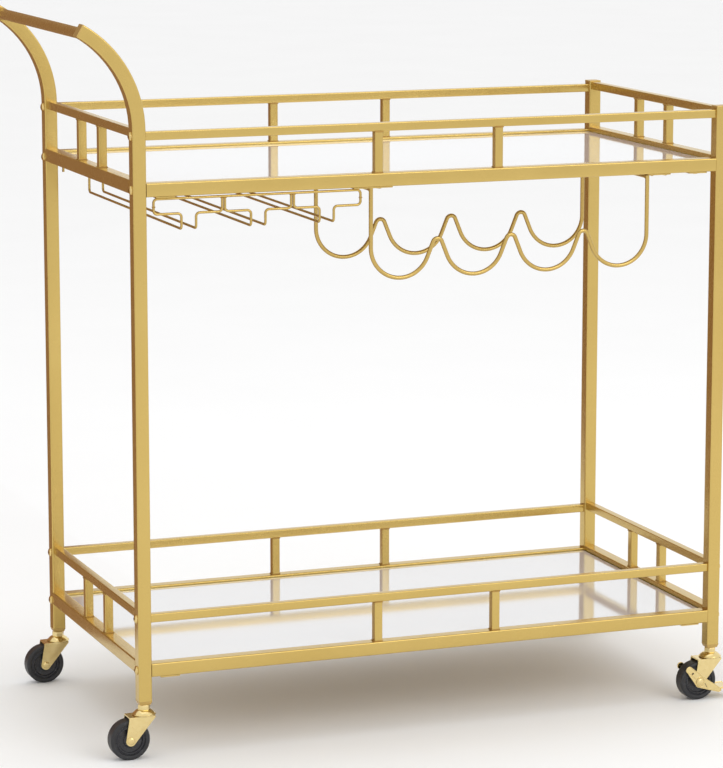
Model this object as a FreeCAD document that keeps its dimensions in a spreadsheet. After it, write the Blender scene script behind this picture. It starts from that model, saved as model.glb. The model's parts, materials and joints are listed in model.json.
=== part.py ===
import FreeCAD, Part
import math
import os
from types import SimpleNamespace

import Sketcher
from FreeCAD import Placement, Rotation, Vector

# A two-shelf bar cart on four swivel casters. Millimetres, +Z up, X along the cart with
# the handle at -X, Y across it with the front at -Y. The origin is on the floor, in the
# middle of the overall length and width.

os.makedirs("parts", exist_ok=True)
doc = FreeCAD.newDocument("BarCart")
sheet = doc.addObject("Spreadsheet::Sheet", "Sizes")

# Each line is one driving dimension: its name, its value in mm (or degrees) and its meaning.
DRIVING_SIZES = [
    ("leg_pitch_long", 736, "leg centre to leg centre along the cart"),
    ("leg_pitch_wide", 366, "leg centre to leg centre across the cart"),
    ("leg_side", 16, "square leg tube, outside"),
    ("leg_wall", 1.2, "leg tube wall"),
    ("leg_bottom", 69, "lower end of the leg tubes above the floor"),
    ("rail_side", 16, "square shelf rail tube, outside"),
    ("rail_wall", 1.2, "shelf rail wall"),
    ("guard_side", 10, "square guard rail and baluster tube, outside"),
    ("guard_wall", 1, "guard rail and baluster wall"),
    ("leg_corner", 1.6, "rounding of the leg and shelf rail tubes"),
    ("guard_corner", 1.1, "rounding of the guard tubes"),
    ("low_rail", 97.5, "underside of the lower long rails above the floor"),
    ("shelf_spacing", 562, "lower shelf to upper shelf"),
    ("guard_rise", 64.5, "underside of a rail to underside of its guard"),
    ("end_lift", 3, "the end rails sit this much higher than the long ones"),
    ("baluster_pitch_long", 152, "between the two balusters of a long side"),
    ("baluster_pitch_wide", 84, "between the two balusters of an end"),
    ("bend_start", 734.3, "height where the handle arms start to bend"),
    ("bend_radius", 133, "bend radius of the handle arms, on the tube's middle"),
    ("bend_angle", 60, "bend angle of the handle arms, degrees"),
    ("grip_diameter", 13, "handle bar"),
    ("grip_wall", 1.2, "handle bar wall"),
    ("grip_setback", 8, "handle bar's middle before the arm's end"),
    ("cap_height", 1.8, "visible plate of a tube end cap"),
    ("cap_plug", 4, "depth of a cap's plug in its tube"),
    ("cap_fit", 0.15, "clearance round a plug in its tube, each side"),
    ("bolt_diameter", 5, "frame bolt shank"),
    ("bolt_head", 10.5, "frame bolt head, across"),
    ("bolt_head_height", 2.8, "frame bolt head, proud of the leg"),
    ("bolt_clearance", 0.1, "all round a bolt or screw in its hole"),
    ("nut_depth", 9, "threaded plug in a rail end"),
    ("mirror_thick", 4, "mirror glass"),
    ("mirror_recess", 3, "mirror face below the top of the long rails"),
    ("mirror_gap", 1, "mirror and board to the rails, each side"),
    ("mirror_corner", 2, "rounded corners of the mirror and its board"),
    ("tab_thick", 1.5, "steel tabs under the rails"),
    ("tab_length", 24, "shelf tab along the rail"),
    ("tab_reach", 12, "shelf tab under the board"),
    ("tab_inset", 31, "shelf tab's middle from the leg's middle"),
    ("screw_diameter", 3.5, "small screw shank"),
    ("screw_head", 7, "small screw head, across"),
    ("screw_head_height", 1.8, "small screw head"),
    ("screw_depth", 6, "small screw above its tab"),
    ("screw_inset", 11, "rail screws from the cart's outer face"),
    ("wire_diameter", 3, "stemware rack wire"),
    ("wine_wire", 5, "wine rack wire"),
    ("side_bar_diameter", 4, "wine rack side bars"),
    ("rack_inset", 5, "rack wires' middle from the cart's outer face"),
    ("stem_left", 17.5, "first stemware hanger from the left legs' middle"),
    ("stem_pitch", 84, "stemware lane to lane"),
    ("stem_slot", 17.6, "between the two rails of a lane, middle to middle"),
    ("stem_shoulder", 17.5, "shoulder below the rack's top wire"),
    ("stem_drop", 35.5, "rails below the rack's top wire"),
    ("hanger_gap", 0.3, "between two hangers side by side"),
    ("rack_corner", 9, "how far the top wire's ends turn down"),
    ("wire_bend", 4.5, "bend radius of the rack wire, on its middle"),
    ("wine_left", 282.5, "wine rack's left end from the left legs' middle"),
    ("wine_pitch", 94, "wine rack cradle to cradle"),
    ("wine_cradle", 37, "radius of a bottle cradle, on the wire's middle"),
    ("wine_crest", 6, "radius of the crest between two cradles, on the wire's middle"),
    ("wine_crest_height", 44.5, "top of a crest above a cradle's lowest point"),
    ("wine_drop", 109, "cradle's lowest point below the rail"),
    ("wine_depth", 186, "front wire to back wire"),
    ("plate_length", 49, "plate that both racks share, along the rail"),
    ("wine_plate_length", 30, "plate at the wine rack's right end"),
    ("wheel_diameter", 48, "caster wheel"),
    ("wheel_width", 17, "caster wheel, across the tread"),
    ("wheel_round", 2, "rounded edges of the tread"),
    ("hub_diameter", 16, "wheel hub inside the recess"),
    ("rim_inside", 35, "outer edge of the wheel's recess, across"),
    ("recess_depth", 2.5, "depth of the wheel's side recess"),
    ("wheel_trail", 19, "axle behind the swivel axis"),
    ("axle_diameter", 6, "wheel axle"),
    ("rivet_head", 8.5, "axle head, across"),
    ("rivet_height", 2, "axle head"),
    ("running_fit", 0.06, "radial clearance of a turning fit"),
    ("side_gap", 0.9, "wheel to fork plate, each side"),
    ("fork_plate", 1.6, "fork sheet"),
    ("fork_top", 52, "top of the fork above the floor"),
    ("fork_foot", 6.3, "rounded lower end of a fork plate, radius"),
    ("fork_front", 10.8, "fork plate in front of the swivel axis, at its top"),
    ("fork_back", 20.6, "fork plate behind the swivel axis, at its top"),
    ("race_gap", 0.3, "swivel parts that pass each other"),
    ("kingpin_diameter", 8, "stem and kingpin"),
    ("kingpin_head", 14, "rivet head under the fork, across"),
    ("kingpin_head_height", 1.4, "rivet head under the fork"),
    ("dome_diameter", 28, "domed race above the fork"),
    ("dome_rim", 1.2, "straight edge of the race"),
    ("dome_height", 6, "race, edge and dome together"),
    ("collar_diameter", 14, "collar on the stem"),
    ("socket_height", 4.5, "tapered part of the leg's foot socket"),
    ("socket_foot", 13, "foot socket at its lower end, across"),
    ("socket_plug", 16, "foot socket inside the leg"),
    ("lever_plate", 1.2, "brake lever sheet"),
    ("lever_reach", 43, "brake pedal's end in front of the axle"),
    ("lever_foot_gap", 2, "brake pedal to the tread"),
    ("lever_pedal_drop", 10, "brake pedal's top below the axle"),
    ("lever_tail", 22, "brake lever's rear end from the axle"),
    ("lever_tail_angle", 47, "brake lever's rear end above level, degrees"),
    ("lever_tail_radius", 4, "rounded rear end of the brake lever"),
    ("lever_hub_radius", 7, "brake lever round the axle"),
    ("lever_nose_radius", 2.5, "brake lever's side plate at the pedal"),
]

for row, (name, value, meaning) in enumerate(DRIVING_SIZES, start=1):
    sheet.set(f"A{row}", meaning)
    sheet.set(f"B{row}", str(value))
    sheet.setAlias(f"B{row}", name)
doc.recompute()
size = SimpleNamespace(**{name: float(sheet.get(name)) for name, _, _ in DRIVING_SIZES})

# Overall length: from the lower corner of the handle caps to the tip of the brake pedals.
bend = math.radians(size.bend_angle)
arm_end_reach = size.bend_radius * (1 - math.cos(bend)) + size.leg_side / 2 * math.cos(bend)
handle_reach = arm_end_reach + size.cap_height * math.sin(bend)
pedal_reach = size.leg_pitch_long - size.wheel_trail + size.lever_reach
LEFT_X = (handle_reach - pedal_reach) / 2
RIGHT_X = LEFT_X + size.leg_pitch_long
FRONT_Y = -size.leg_pitch_wide / 2
BACK_Y = size.leg_pitch_wide / 2
OUTER_FRONT = FRONT_Y - size.leg_side / 2

baluster_height = size.guard_rise - size.rail_side
SHELVES = {"bottom": size.low_rail, "top": size.low_rail + size.shelf_spacing}
SIDES = {"front": FRONT_Y, "back": BACK_Y}
ENDS = {"left": LEFT_X, "right": RIGHT_X}
leg_top = SHELVES["top"] + size.end_lift + size.guard_rise + size.guard_side
bolt_heights = [z + size.rail_side / 2 for z in SHELVES.values()]
bolt_heights += [z + size.guard_rise + size.guard_side / 2 for z in SHELVES.values()]
under_rail = SHELVES["top"]

parts = []

ALONG_X = Rotation(Vector(0, 1, 0), 90)
ALONG_Y = Rotation(Vector(1, 0, 0), -90)
UPRIGHT = Rotation()


# ---------------------------------------------------------------- helpers for bodies
def new_body(label):
    """An empty body that becomes the node of this name."""
    body = doc.addObject("PartDesign::Body", label)
    body.Label = label
    parts.append(body)
    return body


def new_sketch(body, name, role="XY_Plane"):
    """A sketch on one of the body's own origin planes."""
    sketch = body.newObject("Sketcher::SketchObject", name)
    plane = next(f for f in body.Origin.OriginFeatures if f.Role == role)
    sketch.AttachmentSupport = [(plane, "")]
    sketch.MapMode = "FlatFace"
    return sketch


def bind(sketch, constraint, expression):
    """Adds a constraint whose value follows the spreadsheet."""
    index = sketch.addConstraint(constraint)
    sketch.setExpression(f"Constraints[{index}]", expression)


def add_rectangle(sketch, wide, deep):
    """A rectangle centred on the sketch's origin; wide and deep are expressions."""
    first = sketch.GeometryCount
    corners = [Vector(-1, -1, 0), Vector(1, -1, 0), Vector(1, 1, 0), Vector(-1, 1, 0)]
    for i in range(4):
        sketch.addGeometry(Part.LineSegment(corners[i], corners[(i + 1) % 4]), False)
    for i in range(4):
        after = first + (i + 1) % 4
        sketch.addConstraint(Sketcher.Constraint("Coincident", first + i, 2, after, 1))
    for i in (0, 2):
        sketch.addConstraint(Sketcher.Constraint("Horizontal", first + i))
        sketch.addConstraint(Sketcher.Constraint("Vertical", first + i + 1))
    opposite = Sketcher.Constraint("Symmetric", first, 1, first + 2, 1, -1, 1)
    sketch.addConstraint(opposite)
    bind(sketch, Sketcher.Constraint("DistanceX", first, 1, first, 2, 2), wide)
    bind(sketch, Sketcher.Constraint("DistanceY", first + 1, 1, first + 1, 2, 2), deep)


def add_circle(sketch, diameter):
    """A circle centred on the sketch's origin; diameter is an expression."""
    index = sketch.addGeometry(Part.Circle(Vector(), Vector(0, 0, 1), 1), False)
    sketch.addConstraint(Sketcher.Constraint("Coincident", index, 3, -1, 1))
    bind(sketch, Sketcher.Constraint("Diameter", index, 2), diameter)


def pad(body, sketch, length, middle=False):
    """Pads the sketch by an expression, to one side or half to each side."""
    feature = body.newObject("PartDesign::Pad", sketch.Name + "Pad")
    feature.Profile = sketch
    feature.setExpression("Length", length)
    feature.Midplane = middle
    sketch.Visibility = False
    return feature


def round_edges(body, radius, wanted):
    """Fillets the edges of the body for which wanted(edge) is true."""
    doc.recompute()
    base = body.Tip
    names = [f"Edge{i}" for i, e in enumerate(base.Shape.Edges, 1) if wanted(e)]
    feature = body.newObject("PartDesign::Fillet", body.Name + "Round")
    feature.Base = (base, names)
    feature.setExpression("Radius", radius)
    return feature


def bore(body, name, role, centres, diameter, both_ways, flip=False):
    """Round holes square to an origin plane: through everything, or to one side of it."""
    doc.recompute()
    before = body.Shape.Volume
    sketch = new_sketch(body, name, role)
    for across, along in centres:
        circle = Part.Circle(Vector(across, along, 0), Vector(0, 0, 1), 1)
        index = sketch.addGeometry(circle, False)
        sketch.addConstraint(Sketcher.Constraint("DistanceX", -1, 1, index, 3, across))
        sketch.addConstraint(Sketcher.Constraint("DistanceY", -1, 1, index, 3, along))
        bind(sketch, Sketcher.Constraint("Diameter", index, 2), diameter)
    feature = body.newObject("PartDesign::Pocket", name + "Cut")
    feature.Profile = sketch
    feature.Type = "ThroughAll"
    feature.Midplane = both_ways
    feature.Reversed = flip
    sketch.Visibility = False
    doc.recompute()
    if body.Shape.Volume >= before:
        raise RuntimeError(f"{body.Label}: {name} cut nothing")


def outer_corner(half):
    """True for an edge that runs along the outer corner of a tube of this half width."""

    def test(edge):
        inside = all(
            abs(abs(p.Point.x) - half) < 1e-4 and abs(abs(p.Point.y) - half) < 1e-4
            for p in edge.Vertexes
        )
        return inside and len(edge.Vertexes) == 2 and abs(edge.tangentAt(edge.FirstParameter).z) > 0.99

    return test


def square_tube(label, kind, length, place, turn, corner):
    """A straight square tube, built along its own Z from its lower or left end."""
    body = new_body(label)
    section = new_sketch(body, label + "_section")
    add_rectangle(section, f"Sizes.{kind}_side", f"Sizes.{kind}_side")
    bore_size = f"Sizes.{kind}_side - 2 * Sizes.{kind}_wall"
    add_rectangle(section, bore_size, bore_size)
    pad(body, section, length)
    half = getattr(size, f"{kind}_side") / 2
    round_edges(body, f"Sizes.{corner}_corner", outer_corner(half))
    body.Placement = Placement(place, turn)
    return body


# ---------------------------------------------------------------- helpers for groups
def new_group(label, solids):
    """A node made of separate solids, such as all the bolts of one kind."""
    feature = doc.addObject("Part::Feature", label)
    feature.Label = label
    feature.Shape = solids[0] if len(solids) == 1 else Part.makeCompound(solids)
    parts.append(feature)
    return feature


def moved(shape, x, y, z, turn=UPRIGHT):
    """A copy of the shape, turned and then shifted."""
    copy = shape.copy()
    copy.Placement = Placement(Vector(x, y, z), turn).multiply(shape.Placement)
    return copy


def centred_box(wide, deep, high, x=0, y=0, z=0):
    """A box centred on x and y that stands on z."""
    return Part.makeBox(wide, deep, high, Vector(x - wide / 2, y - deep / 2, z))


def rod(diameter, length, start, direction=Vector(0, 0, 1)):
    """A round rod from a point along a direction."""
    return Part.makeCylinder(diameter / 2, length, start, direction)


def turned(outline):
    """A solid of revolution about Z from (radius, height) points that start and end on the axis."""
    points = [Vector(radius, 0, height) for radius, height in outline]
    face = Part.Face(Part.makePolygon(points + points[:1]))
    return face.revolve(Vector(), Vector(0, 0, 1), 360)


def bent_path(points, radius):
    """Straight runs through the points, joined by tangent arcs of one radius."""
    edges = []
    start = points[0]
    for before, corner, after in zip(points, points[1:], points[2:]):
        into = (corner - before).normalize()
        out = (after - corner).normalize()
        half_turn = into.getAngle(out) / 2
        tangent = radius * math.tan(half_turn)
        first = corner - into * tangent
        last = corner + out * tangent
        to_middle = (out - into).normalize()
        middle = corner + to_middle * (radius / math.cos(half_turn) - radius)
        if (first - start).Length > 1e-6:
            edges.append(Part.LineSegment(start, first).toShape())
        edges.append(Part.Arc(first, middle, last).toShape())
        start = last
    edges.append(Part.LineSegment(start, points[-1]).toShape())
    return Part.Wire(edges)


def wire_along(path, diameter):
    """A round wire swept along a path."""
    first = path.Edges[0]
    start = first.valueAt(first.FirstParameter)
    along = first.tangentAt(first.FirstParameter)
    section = Part.Wire(Part.makeCircle(diameter / 2, start, along))
    return path.makePipeShell([section], True, False)


# ---------------------------------------------------------------- legs and handle arms
def straight_leg(label, x, y):
    """A right-hand leg: a plain tube up to the top of the end guard."""
    length = (
        "Sizes.low_rail + Sizes.shelf_spacing + Sizes.end_lift"
        " + Sizes.guard_rise + Sizes.guard_side - Sizes.leg_bottom"
    )
    return square_tube(label, "leg", length, Vector(x, y, size.leg_bottom), UPRIGHT, "leg")


def bent_leg(label, x, y):
    """A left-hand leg: it runs on past the shelf and bends outwards as a handle arm."""
    body = new_body(label)
    inside = "Sizes.leg_side - 2 * Sizes.leg_wall"
    section = new_sketch(body, label + "_section")
    add_rectangle(section, "Sizes.leg_side", "Sizes.leg_side")
    add_rectangle(section, inside, inside)
    pad(body, section, "Sizes.bend_start - Sizes.leg_bottom")
    half = size.leg_side / 2
    straight = size.bend_start - size.leg_bottom

    bend_section = new_sketch(body, label + "_bend")
    bend_section.setExpression(
        "AttachmentOffset.Base.z", "Sizes.bend_start - Sizes.leg_bottom"
    )
    add_rectangle(bend_section, "Sizes.leg_side", "Sizes.leg_side")
    add_rectangle(bend_section, inside, inside)
    pivot = Part.LineSegment(Vector(-2, -1, 0), Vector(-2, 1, 0))
    pivot_line = bend_section.addGeometry(pivot, True)
    bend_section.addConstraint(Sketcher.Constraint("Vertical", pivot_line))
    bend_section.addConstraint(Sketcher.Constraint("DistanceY", pivot_line, 1, -1, 1, 1))
    bend_section.addConstraint(Sketcher.Constraint("DistanceY", -1, 1, pivot_line, 2, 1))
    offset = Sketcher.Constraint("DistanceX", pivot_line, 1, -1, 1, 2)
    bind(bend_section, offset, "Sizes.bend_radius")
    doc.recompute()
    arm = body.newObject("PartDesign::Revolution", label + "_arm")
    arm.Profile = bend_section
    arm.ReferenceAxis = (bend_section, ["Axis0"])
    arm.setExpression("Angle", "Sizes.bend_angle")
    arm.Reversed = True
    bend_section.Visibility = False
    doc.recompute()
    if arm.Shape.BoundBox.ZMax < straight + size.bend_radius / 2:
        arm.Reversed = False
    round_edges(body, "Sizes.leg_corner", arm_corner(half, straight))
    body.Placement = Placement(Vector(x, y, size.leg_bottom), UPRIGHT)
    return body


def arm_corner(half, straight):
    """True for the lengthwise outer edges of a bent leg, straight part and bend."""
    centre = Vector(-size.bend_radius, 0, straight)

    def on_corner(point):
        if abs(abs(point.y) - half) > 1e-4:
            return False
        if point.z <= straight + 1e-4:
            return abs(abs(point.x) - half) < 1e-4
        reach = math.hypot(point.x - centre.x, point.z - centre.z)
        return abs(abs(reach - size.bend_radius) - half) < 1e-4

    def test(edge):
        middle = edge.valueAt((edge.FirstParameter + edge.LastParameter) / 2)
        level = abs(edge.tangentAt(edge.FirstParameter).y) > 0.5
        ends_apart = len(edge.Vertexes) == 2 and edge.Length > size.leg_side * 2
        return ends_apart and not level and on_corner(middle)

    return test


bolt_hole = "Sizes.bolt_diameter + 2 * Sizes.bolt_clearance"
bolt_marks = [(0, z - size.leg_bottom) for z in bolt_heights]
for side, y in SIDES.items():
    left_leg = bent_leg(f"leg_{side}_left", LEFT_X, y)
    right_leg = straight_leg(f"leg_{side}_right", RIGHT_X, y)
    for leg in (left_leg, right_leg):
        bore(leg, leg.Label + "_bolts", "YZ_Plane", bolt_marks, bolt_hole, True)

# ---------------------------------------------------------------- rails, guards, balusters
# The plates of both racks sit under the upper rails, so those rails are drilled for them.
left_inner = LEFT_X + size.leg_side / 2
wine_left = LEFT_X + size.wine_left
wine_right = wine_left + 3 * size.wine_pitch + 2 * size.wine_cradle
rack_plate_x = wine_left + 2
wine_plate_x = wine_right + size.wine_plate_length / 2
shared_screw_x = rack_plate_x + 10
wine_screw_x = wine_plate_x + 11
tab_x = [LEFT_X + size.tab_inset, RIGHT_X - size.tab_inset]
screw_x = {"top": [*tab_x, shared_screw_x, wine_screw_x], "bottom": tab_x}
screw_across = size.leg_side / 2 - size.screw_inset

screw_hole = "Sizes.screw_diameter + 2 * Sizes.bolt_clearance"
for shelf, rail_z in SHELVES.items():
    guard_z = rail_z + size.guard_rise
    for side, y in SIDES.items():
        rail = square_tube(
            f"long_rail_{shelf}_{side}",
            "rail",
            "Sizes.leg_pitch_long - Sizes.leg_side",
            Vector(left_inner, y, rail_z + size.rail_side / 2),
            ALONG_X,
            "leg",
        )
        inward = -screw_across if side == "front" else screw_across
        marks = [(inward, x - left_inner) for x in screw_x[shelf]]
        bore(rail, rail.Label + "_screws", "YZ_Plane", marks, screw_hole, False, True)
        square_tube(
            f"guard_rail_{shelf}_{side}",
            "guard",
            "Sizes.leg_pitch_long - Sizes.leg_side",
            Vector(left_inner, y, guard_z + size.guard_side / 2),
            ALONG_X,
            "guard",
        )
    for end, x in ENDS.items():
        inner_y = FRONT_Y + size.leg_side / 2
        end_z = rail_z + size.end_lift + size.rail_side / 2
        end_guard_z = guard_z + size.end_lift + size.guard_side / 2
        end_length = "Sizes.leg_pitch_wide - Sizes.leg_side"
        square_tube(
            f"end_rail_{shelf}_{end}", "rail", end_length, Vector(x, inner_y, end_z), ALONG_Y, "leg"
        )
        square_tube(
            f"end_guard_{shelf}_{end}",
            "guard",
            end_length,
            Vector(x, inner_y, end_guard_z),
            ALONG_Y,
            "guard",
        )


def baluster():
    """One upright of a guard: a short square tube, open at both ends."""
    hollow = size.guard_side - 2 * size.guard_wall
    tube = centred_box(size.guard_side, size.guard_side, baluster_height)
    corners = [e for e in tube.Edges if abs(e.tangentAt(e.FirstParameter).z) > 0.5]
    rounded = tube.makeFillet(size.guard_corner, corners)
    return rounded.cut(centred_box(hollow, hollow, baluster_height))


upright = baluster()
middle_x = (LEFT_X + RIGHT_X) / 2
for shelf, rail_z in SHELVES.items():
    for side, y in SIDES.items():
        places = [middle_x + k * size.baluster_pitch_long / 2 for k in (-1, 1)]
        foot = rail_z + size.rail_side
        new_group(f"balusters_{shelf}_{side}", [moved(upright, x, y, foot) for x in places])
for end, x in ENDS.items():
    uprights = []
    for rail_z in SHELVES.values():
        foot = rail_z + size.end_lift + size.rail_side
        for k in (-1, 1):
            uprights.append(moved(upright, x, k * size.baluster_pitch_wide / 2, foot))
    new_group(f"balusters_{end}_end", uprights)

# ---------------------------------------------------------------- handle bar and end caps
grip_turn = bend - size.grip_setback / size.bend_radius
bend_x = LEFT_X - size.bend_radius


def on_arm(angle):
    """The middle of a handle arm's tube, at an angle round its bend."""
    reach = size.bend_radius
    x = bend_x + reach * math.cos(angle)
    return Vector(x, 0, size.bend_start + reach * math.sin(angle))


grip = new_body("handle_bar")
grip_section = new_sketch(grip, "handle_bar_section")
add_circle(grip_section, "Sizes.grip_diameter")
add_circle(grip_section, "Sizes.grip_diameter - 2 * Sizes.grip_wall")
pad(grip, grip_section, "Sizes.leg_pitch_wide - Sizes.leg_side")
grip_at = on_arm(grip_turn)
grip_start = Vector(grip_at.x, FRONT_Y + size.leg_side / 2, grip_at.z)
grip.Placement = Placement(grip_start, ALONG_Y)


def end_cap():
    """A moulded cap: a plate as wide as the tube, and a plug that goes into it."""
    hollow = size.leg_side - 2 * size.leg_wall - 2 * size.cap_fit
    plate = centred_box(size.leg_side, size.leg_side, size.cap_height)
    rims = [e for e in plate.Edges if e.CenterOfMass.z > size.cap_height / 4]
    plate = plate.makeFillet(min(size.cap_height, size.leg_corner) * 0.6, rims)
    plug = centred_box(hollow, hollow, size.cap_plug, z=-size.cap_plug)
    return plate.fuse(plug)


cap = end_cap()
arm_tip = on_arm(bend)
arm_turn = Rotation(Vector(0, 1, 0), -size.bend_angle)
caps = [moved(cap, arm_tip.x, y, arm_tip.z, arm_turn) for y in SIDES.values()]
caps += [moved(cap, RIGHT_X, y, leg_top) for y in SIDES.values()]
new_group("tube_end_caps", caps)

# ---------------------------------------------------------------- bolts and rail-end nuts
bolt_reach = size.leg_side + size.nut_depth - 1


def frame_bolt():
    """A button-head bolt that points along +Z, its head's underside at 0."""
    head_radius = size.bolt_head / 2
    crown = head_radius * 0.45
    outline = [
        (0, -size.bolt_head_height),
        (crown, -size.bolt_head_height),
        (head_radius * 0.8, -size.bolt_head_height * 0.72),
        (head_radius, -size.bolt_head_height * 0.3),
        (head_radius, 0),
        (size.bolt_diameter / 2, 0),
        (size.bolt_diameter / 2, bolt_reach),
        (0, bolt_reach),
    ]
    hexagon = Part.makePolygon(
        [
            Vector(crown * 0.85 * math.cos(k * math.pi / 3), crown * 0.85 * math.sin(k * math.pi / 3), 0)
            for k in range(7)
        ]
    )
    socket = Part.Face(hexagon).extrude(Vector(0, 0, size.bolt_head_height * 0.7))
    return turned(outline).cut(moved(socket, 0, 0, -size.bolt_head_height))


def rail_nut(hollow):
    """A square threaded plug, from 0 inwards along +Z."""
    body = centred_box(hollow, hollow, size.nut_depth)
    hole = rod(size.bolt_diameter + 2 * size.bolt_clearance, size.nut_depth, Vector())
    return body.cut(hole)


bolt = frame_bolt()
rail_hollow = size.rail_side - 2 * size.rail_wall - 2 * size.cap_fit
guard_hollow = size.guard_side - 2 * size.guard_wall - 2 * size.cap_fit
rail_plug = rail_nut(rail_hollow)
guard_plug = rail_nut(guard_hollow)
bolts = []
nuts = []
for y in SIDES.values():
    for rail_z in SHELVES.values():
        heights = (
            (rail_z + size.rail_side / 2, rail_plug),
            (rail_z + size.guard_rise + size.guard_side / 2, guard_plug),
        )
        for z, plug in heights:
            for x, way in ((LEFT_X, 1), (RIGHT_X, -1)):
                turn = Rotation(Vector(0, 1, 0), 90 * way)
                bolts.append(moved(bolt, x - way * size.leg_side / 2, y, z, turn))
                nuts.append(moved(plug, x + way * size.leg_side / 2, y, z, turn))
new_group("frame_bolts", bolts)
new_group("rail_end_nuts", nuts)

# ---------------------------------------------------------------- mirrors, boards and tabs
board_thick = size.rail_side - size.mirror_recess - size.mirror_thick
panel_wide = "Sizes.leg_pitch_long - Sizes.leg_side - 2 * Sizes.mirror_gap"
panel_deep = "Sizes.leg_pitch_wide - Sizes.leg_side - 2 * Sizes.mirror_gap"
board_high = "Sizes.rail_side - Sizes.mirror_recess - Sizes.mirror_thick"
board_screw_y = size.leg_pitch_wide / 2 - size.leg_side / 2 - size.mirror_gap - size.tab_reach / 2


def upright_edge(edge):
    """True for a straight edge that runs up."""
    return len(edge.Vertexes) == 2 and abs(edge.tangentAt(edge.FirstParameter).z) > 0.99


for shelf, rail_z in SHELVES.items():
    board = new_body(f"shelf_board_{shelf}")
    outline = new_sketch(board, f"shelf_board_{shelf}_outline")
    add_rectangle(outline, panel_wide, panel_deep)
    pad(board, outline, board_high)
    round_edges(board, "Sizes.mirror_corner", upright_edge)
    marks = [(x - middle_x, k * board_screw_y) for x in tab_x for k in (-1, 1)]
    bore(board, board.Label + "_screws", "XY_Plane", marks, screw_hole, True)
    board.Placement = Placement(Vector(middle_x, 0, rail_z), UPRIGHT)
    mirror = new_body(f"mirror_{shelf}")
    outline = new_sketch(mirror, f"mirror_{shelf}_outline")
    add_rectangle(outline, panel_wide, panel_deep)
    pad(mirror, outline, "Sizes.mirror_thick")
    round_edges(mirror, "Sizes.mirror_corner", upright_edge)
    mirror.Placement = Placement(Vector(middle_x, 0, rail_z + board_thick), UPRIGHT)


def drilled_plate(x, side, wide, inner, rail_z, holes):
    """A steel plate under a rail; it reaches inner beyond the rail, and holes are (x, y)."""
    outer_y = size.leg_pitch_wide / 2 + size.leg_side / 2 - 1
    inner_y = size.leg_pitch_wide / 2 - size.leg_side / 2 - inner
    deep = outer_y - inner_y
    middle = side * (outer_y + inner_y) / 2
    plate = centred_box(wide, deep, size.tab_thick, x, middle, rail_z - size.tab_thick)
    plate = plate.makeFillet(2, [e for e in plate.Edges if upright_edge(e)])
    for hole_x, hole_y in holes:
        start = Vector(hole_x, side * hole_y, rail_z - size.tab_thick)
        across = size.screw_diameter + 2 * size.bolt_clearance
        plate = plate.cut(rod(across, size.tab_thick, start))
    return plate


def small_screw():
    """A pan-head screw that points up, its head's underside at the tab's underside, 0."""
    head = size.screw_head / 2
    outline = [
        (0, -size.screw_head_height),
        (head * 0.6, -size.screw_head_height),
        (head, -size.screw_head_height * 0.4),
        (head, 0),
        (size.screw_diameter / 2, 0),
        (size.screw_diameter / 2, size.tab_thick + size.screw_depth),
        (0, size.tab_thick + size.screw_depth),
    ]
    return turned(outline)


rail_screw_y = size.leg_pitch_wide / 2 + size.leg_side / 2 - size.screw_inset
screw = small_screw()
tabs = []
screws = []
for rail_z in SHELVES.values():
    for side in (-1, 1):
        for x in tab_x:
            holes = [(x, rail_screw_y), (x, board_screw_y)]
            tabs.append(drilled_plate(x, side, size.tab_length, size.tab_reach, rail_z, holes))
            for hole_x, hole_y in holes:
                screws.append(moved(screw, hole_x, side * hole_y, rail_z - size.tab_thick))
new_group("shelf_tabs", tabs)

plates = []
for side in (-1, 1):
    for x, wide, hole_x in (
        (rack_plate_x, size.plate_length, shared_screw_x),
        (wine_plate_x, size.wine_plate_length, wine_screw_x),
    ):
        hole = (hole_x, rail_screw_y)
        plates.append(drilled_plate(x, side, wide, -1, under_rail, [hole]))
        screws.append(moved(screw, hole_x, side * rail_screw_y, under_rail - size.tab_thick))
new_group("rack_plates", plates)
new_group("underside_screws", screws)

# ---------------------------------------------------------------- stemware rack
# Six bent wires make three lanes. A front wire runs along under the rail; from it each
# hanger drops, turns in to a shoulder, drops again and turns back as a rail that carries
# the glasses' feet. At the back the rails turn up to a second wire.
wire = size.wire_diameter
rack_front = OUTER_FRONT + size.rack_inset
rack_back = -rack_front
top_wire_z = under_rail - size.tab_thick - wire / 2
hanger_top = top_wire_z - wire / 2
lane_rail_z = top_wire_z - size.stem_drop
shoulder_z = top_wire_z - size.stem_shoulder
stem_left = LEFT_X + size.stem_left
stem_right = stem_left + 3 * size.stem_pitch
corner_z = top_wire_z - size.rack_corner
bend_reach = size.wire_bend


def top_wire(y):
    """The wire under a rail, with both ends turned down."""
    points = [
        Vector(stem_left, y, corner_z),
        Vector(stem_left, y, top_wire_z),
        Vector(stem_right, y, top_wire_z),
        Vector(stem_right, y, corner_z),
    ]
    return wire_along(bent_path(points, bend_reach), wire)


new_group("stemware_top_wires", [top_wire(rack_front), top_wire(rack_back)])

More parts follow.
